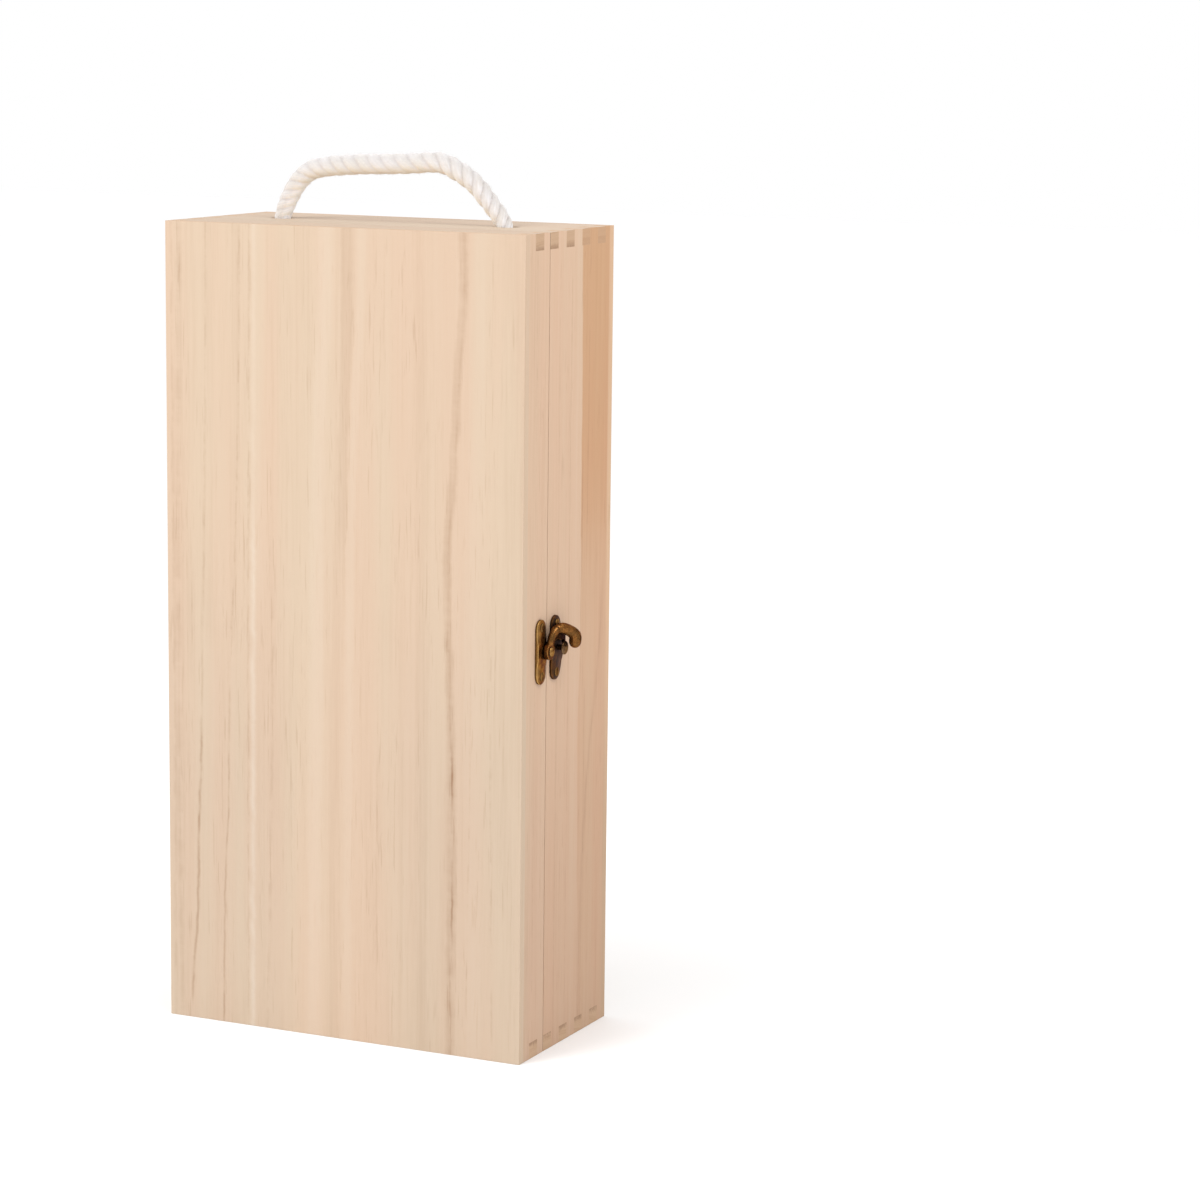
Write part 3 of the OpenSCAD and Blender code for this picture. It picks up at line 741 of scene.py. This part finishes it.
def smooth_path(points, step):
    """An even walk along a smooth curve through the points."""
    p = np.array(points, float)
    e = np.vstack([2 * p[0] - p[1], p, 2 * p[-1] - p[-2]])
    out = []
    for i in range(1, len(e) - 2):
        a, b, c, d = e[i - 1], e[i], e[i + 1], e[i + 2]
        for t in np.linspace(0, 1, 24, endpoint=False):
            out.append(
                0.5 * (2 * b + (c - a) * t + (2 * a - 5 * b + 4 * c - d) * t * t
                       + (3 * b - a - 3 * c + d) * t ** 3)
            )
    out.append(e[-2])
    out = np.array(out)
    s = np.r_[0, np.cumsum(np.linalg.norm(np.diff(out, axis=0), axis=1))]
    n = max(3, int(round(s[-1] / step)) + 1)
    u = np.linspace(0, s[-1], n)
    return np.stack([np.interp(u, s, out[:, k]) for k in range(3)], 1), u


def carried(path, first):
    """Frames that follow the path without twisting."""
    t = np.gradient(path, axis=0)
    t /= np.linalg.norm(t, axis=1)[:, None]
    n = np.array(first, float)
    n -= t[0] * (n @ t[0])
    n /= np.linalg.norm(n)
    out = []
    for i in range(len(path)):
        n = n - t[i] * (n @ t[i])
        n /= np.linalg.norm(n)
        out.append(n.copy())
    n = np.array(out)
    return t, n, np.cross(t, n)


def strand_shape(u, depth=0.18):
    """Radius share of a three-strand rope at angle u from the middle of a strand."""
    h, rs = depth, 1 - depth
    u = (u + math.pi / 3) % (2 * math.pi / 3) - math.pi / 3
    return h * np.cos(u) + np.sqrt(rs * rs - h * h * np.sin(u) ** 2), np.abs(u) / (math.pi / 3)


def laid(s, lay=None):
    """How far the strands have turned along the rope: tight in the left leg, looser over the top."""
    if lay is None:
        lay = np.interp(s / s[-1], [0.0, 0.16, 0.36, 0.66, 0.84, 1.0], [13.0, 13.5, 19.0, 20.0, 17.5, 15.0])
    else:
        lay = np.full(len(s), lay)
    return np.r_[0.0, np.cumsum(2 * math.pi * np.diff(s) / (0.5 * (lay[1:] + lay[:-1])))]


def rope_mesh(name, path, s, radius, turn0=0.0, sides=60, close=(True, True), first=(0, 1, 0), lay=None):
    """A three-strand rope of right-hand lay along the path, with yarns on each strand."""
    t, n, b = carried(path, first)
    rng = np.random.default_rng(5)
    wav = np.cumsum(rng.normal(0, 0.02, len(s)))
    wav = np.convolve(wav - np.linspace(wav[0], wav[-1], len(s)), np.ones(31) / 31, "same")
    phi = np.linspace(0, 2 * math.pi, sides, endpoint=False)
    twist = laid(s, lay)
    uneven = np.convolve(np.cumsum(rng.normal(0, 0.006, len(s))), np.ones(25) / 25, "same")
    uneven = np.clip(uneven - uneven.mean(), -0.05, 0.05)
    verts, crease = [], []
    for i in range(len(path)):
        ang = phi - twist[i] - turn0 - wav[i]
        share, edge = strand_shape(ang, 0.195 + uneven[i])
        u = (ang + math.pi / 3) % (2 * math.pi / 3) - math.pi / 3
        yarn = 0.05 * np.cos(9 * u * 1.5 + 2 * math.pi * s[i] / 4.1) * (1 - edge ** 3)
        r = radius[i] * share + yarn
        verts.append(path[i] + r[:, None] * (np.cos(phi)[:, None] * n[i] + np.sin(phi)[:, None] * b[i]))
        crease.append(edge ** 2.2)
    verts = np.concatenate(verts)
    crease = np.concatenate(crease)
    m = len(path)
    faces = [
        (i * sides + k, i * sides + (k + 1) % sides, (i + 1) * sides + (k + 1) % sides, (i + 1) * sides + k)
        for i in range(m - 1)
        for k in range(sides)
    ]
    verts = list(verts)
    crease = list(crease)
    if close[0]:
        verts.append(path[0] - t[0] * radius[0] * 0.3)
        crease.append(0.4)
        c = len(verts) - 1
        faces += [(c, (k + 1) % sides, k) for k in range(sides)]
    if close[1]:
        verts.append(path[-1] + t[-1] * radius[-1] * 0.3)
        crease.append(0.4)
        c = len(verts) - 1
        o = (m - 1) * sides
        faces += [(c, o + k, o + (k + 1) % sides) for k in range(sides)]
    ob = mesh_object(name, np.array(verts) * MM, faces)
    ob.data.attributes.new("crease", "FLOAT", "POINT").data.foreach_set(
        "value", np.array(crease, np.float32)
    )
    uv = ob.data.uv_layers.new(name="lay")
    coords = np.zeros((len(ob.data.loops), 2), np.float32)
    for f in ob.data.polygons:
        ids = list(f.vertices)
        if max(ids) < m * sides:
            k0 = min(v % sides for v in ids)
            wrap = k0 == 0 and max(v % sides for v in ids) == sides - 1
            for li, v in zip(f.loop_indices, ids):
                k = v % sides
                if wrap and k == 0:
                    k = sides
                coords[li] = (k / sides, s[v // sides] / 100.0)
    uv.data.foreach_set("uv", coords.ravel())
    return ob


def cotton():
    p = Paint("cotton_rope")
    tc = p.n("ShaderNodeTexCoord")
    mm = p.n("ShaderNodeVectorMath", operation="SCALE")
    p.put(mm.inputs[0], tc.outputs["Object"])
    mm.inputs["Scale"].default_value = 1000.0
    uv = p.n("ShaderNodeUVMap", uv_map="lay")
    a, s, _ = p.parts(uv.outputs[0])
    crease = p.n("ShaderNodeAttribute", attribute_name="crease")
    yarn = p.noise(p.xyz(p.mul(a, 60.0), p.mul(s, 26.0), 0.0), detail=3.0, rough=0.6)
    fuzz = p.noise(mm.outputs[0], scale=3.0, detail=4.0, rough=0.7)
    slow = p.noise(mm.outputs[0], scale=0.09, detail=2.0)
    c = p.mix(p.span(slow, 0.35, 0.65), rgb(247, 242, 239, ROPE_K), rgb(245, 239, 232, ROPE_K))
    c = p.mix(p.mul(p.span(yarn, 0.45, 0.75), 0.35), c, rgb(232, 221, 212, ROPE_K))
    # painted shade in the creases between the strands
    c = p.mix(p.math("MULTIPLY", crease.outputs["Fac"], 0.34, clamp=True), c, rgb(218, 205, 198, ROPE_K))
    up = p.parts(tc.outputs["Normal"])[2]
    # painted light: the underside is made lighter and yellower than the shade it lies in
    under = p.mul(p.span(up, 0.0, -0.9), p.span(fuzz, 0.3, 0.6, 0.3, 0.8))
    c = p.mix(under, c, rgb(250, 241, 222, 0.93))
    # painted shade: the upward faces are coloured darker, evening out the light that falls on them from above
    c = p.mix(p.span(up, -0.5, 0.8, 0.0, 1.0), c, (0.665, 0.67, 0.685, 1.0), "MULTIPLY")
    # painted light: the side turned to the right, away from the lamps, is made whiter
    inner = p.mul(p.span(p.parts(tc.outputs["Normal"])[0], 0.05, 0.8), p.span(up, 0.7, 0.0))
    c = p.mix(inner, c, (1.24, 1.29, 1.36, 1.0), "MULTIPLY")
    p.put(p.b.inputs["Base Color"], c)
    p.set(Roughness=0.92, Sheen_Weight=0.25, Sheen_Roughness=0.5, Specular_IOR_Level=0.2,
          Subsurface_Weight=0.8, Subsurface_Scale=0.0040)
    p.b.inputs["Subsurface Radius"].default_value = (1.0, 0.95, 0.9)
    p.put(p.b.inputs["Normal"], p.bump(p.add(yarn, p.mul(fuzz, 0.8)), 0.6, 0.00026))
    return p.m


cotton_mat = cotton()
path, along = smooth_path([(x, y, z + 0.5 * min(1, max(0, z - 356) / 12)) for x, y, z in ARCH], 0.24)
# drawn tighter towards the two holes, and leaning outwards on the left and inwards on the right
rope_radius = np.interp(path[:, 2], [349.0, 352.0, 358.0, 368.0, 373.0], [3.55, 3.65, 3.95, 4.2, ROPE_R])
path[:, 0] -= 0.45 * np.clip((360.0 - path[:, 2]) / 8.0, 0, 1)
rope = rope_mesh("rope", path, along, rope_radius)
paint(rope, cotton_mat)
rope_line = (path[::6] * MM).tolist()
if np.linalg.norm(path[-1] - path[::6][-1]) > 1e-6:
    rope_line.append((path[-1] * MM).tolist())


def fibres(name, path, s, radius, count, seed, reach=(0.5, 1.7), width=0.035, span=(0.0, 1.0)):
    """Loose cotton hairs that stand off the rope."""
    t, n, b = carried(path, (0, 1, 0))
    twist = laid(s)
    rnd = random.Random(seed)
    verts, faces = [], []
    for _ in range(count):
        i = int(rnd.uniform(span[0], span[1]) * (len(path) - 1))
        a = rnd.uniform(0, 2 * math.pi)
        out = math.cos(a) * n[i] + math.sin(a) * b[i]
        share, _e = strand_shape(np.array([a - twist[i]]))
        p = path[i] + out * radius[i] * (float(share[0]) - 0.03)
        side = np.cross(t[i], out)
        d = out * rnd.uniform(0.15, 1.0) + side * rnd.uniform(-1, 1) + t[i] * rnd.uniform(-1, 1)
        d /= np.linalg.norm(d)
        length = rnd.uniform(*reach)
        curl = np.array([rnd.uniform(-1, 1) for _ in range(3)]) * 0.5
        k0 = len(verts)
        x = np.cross(d, (0.3, 0.5, 0.8))
        x /= np.linalg.norm(x)
        y = np.cross(d, x)
        q = p.copy()
        for j in range(5):
            w = width * (1 - 0.18 * j)
            for k in range(3):
                an = 2 * math.pi * k / 3
                verts.append(q + w * (math.cos(an) * x + math.sin(an) * y))
            q = q + (d + curl * j / 4.0) * length / 4.0
        for j in range(4):
            for k in range(3):
                v0, v1 = k0 + 3 * j + k, k0 + 3 * j + (k + 1) % 3
                faces.append((v0, v1, v1 + 3, v0 + 3))
        faces.append((k0 + 2, k0 + 1, k0))
        faces.append((k0 + 12, k0 + 13, k0 + 14))
    return mesh_object(name, np.array(verts) * MM, faces)


hair_mat = Paint("cotton_hair")
_tc = hair_mat.n("ShaderNodeTexCoord")
hair_mat.put(
    hair_mat.b.inputs["Base Color"],
    hair_mat.mix(hair_mat.noise(_tc.outputs["Object"], scale=400.0), rgb(252, 246, 240, 0.8), rgb(238, 228, 218, 0.75)),
)
hair_mat.set(Roughness=0.95, Sheen_Weight=0.2)
hairs = fibres("rope_hairs", path, along, rope_radius, 2600, 4, reach=(0.5, 1.6), width=0.028, span=(0.07, 0.93))
paint(hairs, hair_mat.m)

# the stopper knot below the top board: an overhand knot, pulled tight
KNOT = [
    (3.1, -19.5, 27.1), (3.1, -19.5, 21.4), (3.0, -19.8, 18.6), (3.0, -20.2, 15.8), (2.9, -20.8, 13.0),
    (2.8, -21.6, 10.3), (2.7, -22.4, 7.5), (2.6, -23.3, 4.9), (3.0, -24.4, 2.3), (3.5, -26.1, 0.1),
    (3.0, -28.1, -1.9), (1.5, -29.7, -3.6), (-0.9, -30.6, -5.0), (-3.6, -30.5, -5.8), (-6.2, -29.4, -6.1),
    (-8.2, -27.5, -5.8), (-9.5, -25.1, -5.1), (-9.6, -22.5, -4.0), (-8.6, -20.1, -2.9), (-6.7, -18.3, -1.8),
    (-4.2, -17.4, -0.9), (-1.4, -17.3, -0.3), (1.4, -17.3, 0.3), (4.2, -17.4, 0.9), (6.7, -18.3, 1.8),
    (8.6, -20.1, 2.9), (9.6, -22.5, 4.0), (9.5, -25.1, 5.1), (8.2, -27.5, 5.8), (6.2, -29.4, 6.1),
    (3.6, -30.5, 5.8), (0.9, -30.6, 5.0), (-1.5, -29.7, 3.6), (-3.0, -28.1, 1.9), (-3.5, -26.1, -0.1),
    (-3.0, -24.4, -2.3), (-2.6, -23.3, -4.9), (-2.7, -22.4, -7.5), (-2.8, -21.6, -10.3), (-2.9, -20.8, -13.0),
    (-3.0, -20.2, -15.8), (-3.0, -19.8, -18.6), (-3.1, -19.5, -21.4), (-3.1, -19.5, -24.3),
]


def knot(name, x, turn, seed):
    """The rope's end from inside its hole through the knot to the frayed tail."""
    k = np.array(KNOT)
    k = k - (3.1, -19.5, 0)
    k[:, :2] *= 0.92
    k[:, 2] *= 0.92
    c, s_ = math.cos(turn), math.sin(turn)
    k = np.stack([k[:, 0] * c - k[:, 1] * s_, k[:, 0] * s_ + k[:, 1] * c, k[:, 2]], 1)
    # the straight run above the knot stays on the hole's axis
    k[:, 2] += 334.0
    keep = k[:, 2] < 343.0
    first_low = int(np.argmax(keep))
    low = k[first_low:]
    top = [(0.0, 0.0, 346.5), (0.0, 0.0, 344.8)]
    pts = np.vstack([np.array(top), low])
    pts[:, 0] += x
    pts[:, 1] += 4.0
    p, s = smooth_path(pts, 0.30)
    radius = np.full(len(p), 3.45)
    fade = np.clip(s / 5.0, 0, 1)
    radius = 3.4 * (1 - fade) + 3.45 * fade
    tail = np.clip((s[-1] - s) / 7.0, 0, 1)
    radius = radius * (1 + 0.10 * (1 - tail))
    body = rope_mesh(name, p, s, radius, turn0=turn, sides=48, lay=12.6)
    paint(body, cotton_mat)
    # the fray: a brush of loose yarns at the tail's end
    rnd = random.Random(seed)
    verts, faces = [], []
    end, d0 = p[-1], p[-1] - p[-6]
    d0 = d0 / np.linalg.norm(d0)
    x0 = np.cross(d0, (0, 1, 0))
    x0 /= np.linalg.norm(x0)
    y0 = np.cross(d0, x0)
    for _ in range(190):
        a, rr = rnd.uniform(0, 2 * math.pi), 3.3 * math.sqrt(rnd.random())
        out = math.cos(a) * x0 + math.sin(a) * y0
        q = end + out * rr - d0 * 1.0
        d = d0 + out * (0.10 + 0.35 * rr / 3.3) * rnd.uniform(0.2, 1.3)
        curl = np.array([rnd.uniform(-1, 1) for _ in range(3)]) * 0.35
        length = rnd.uniform(4.0, 7.0)
        k0 = len(verts)
        for j in range(5):
            w = rnd.uniform(0.16, 0.22) * (1 - 0.12 * j)
            for kk in range(4):
                an = 2 * math.pi * kk / 4
                verts.append(q + w * (math.cos(an) * x0 + math.sin(an) * y0))
            q = q + (d + curl * j / 4.0) * length / 4.0
        for j in range(4):
            for kk in range(4):
                v0, v1 = k0 + 4 * j + kk, k0 + 4 * j + (kk + 1) % 4
                faces.append((v0, v1, v1 + 4, v0 + 4))
        faces.append((k0 + 3, k0 + 2, k0 + 1, k0))
        faces.append((k0 + 16, k0 + 17, k0 + 18, k0 + 19))
    fray = mesh_object(name + "_fray", np.array(verts) * MM, faces)
    paint(fray, hair_mat.m)
    return body, fray


knots = []
for side, x, turn, seed in (("left", -55.0, 2.5, 21), ("right", 55.0, 0.6, 22)):
    body, fray = knot("knot_" + side, x, turn, seed)
    for o in (body, fray):
        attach(o, "carcass")
    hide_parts("rope_knot_" + side)
    knots += [body, fray]

for o in (rope, hairs):
    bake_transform(o)
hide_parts("rope_handle")

# ------------------------------------------------------------------ floor and light

floor = mesh_object(
    "floor", [(-6, -6, -0.0001), (6, -6, -0.0001), (6, 6, -0.0001), (-6, 6, -0.0001)], [(0, 1, 2, 3)]
)
fm = Paint("floor")
ft = fm.n("ShaderNodeTexCoord")
fm.put(
    fm.b.inputs["Base Color"],
    fm.mix(fm.noise(ft.outputs["Object"], scale=30.0), (0.878, 0.880, 0.884, 1.0), (0.884, 0.884, 0.886, 1.0)),
)
fm.set(Roughness=0.9, Specular_IOR_Level=0.1)
paint(floor, fm.m)

world = bpy.data.worlds.new("studio")
scene.world = world
world.use_nodes = True
bg = world.node_tree.nodes["Background"]
bg.inputs["Color"].default_value = (1.0, 1.0, 1.0, 1.0)
bg.inputs["Strength"].default_value = 1.0


def lamp(name, at, to, size, power, colour=(1, 1, 1)):
    d = bpy.data.lights.new(name, "AREA")
    d.shape = "DISK"
    d.size = size
    d.energy = power
    d.color = colour
    o = bpy.data.objects.new(name, d)
    scene.collection.objects.link(o)
    o.location = at
    o.rotation_euler = (Vector(to) - Vector(at)).to_track_quat("-Z", "Y").to_euler()
    return o


sun = bpy.data.lights.new("sun", "SUN")
sun.energy = 0.6
sun.angle = math.radians(45)
sun_ob = bpy.data.objects.new("sun", sun)
scene.collection.objects.link(sun_ob)
sun_ob.rotation_euler = (Vector((0.55, 0.80, -1.05))).to_track_quat("-Z", "Y").to_euler()
lamp("key", (-0.35, -0.75, 0.85), (0, 0, 0.22), 0.5, 4.0)
lamp("fill", (0.55, -0.15, 0.95), (0.086, 0, 0.30), 0.4, 2.8)
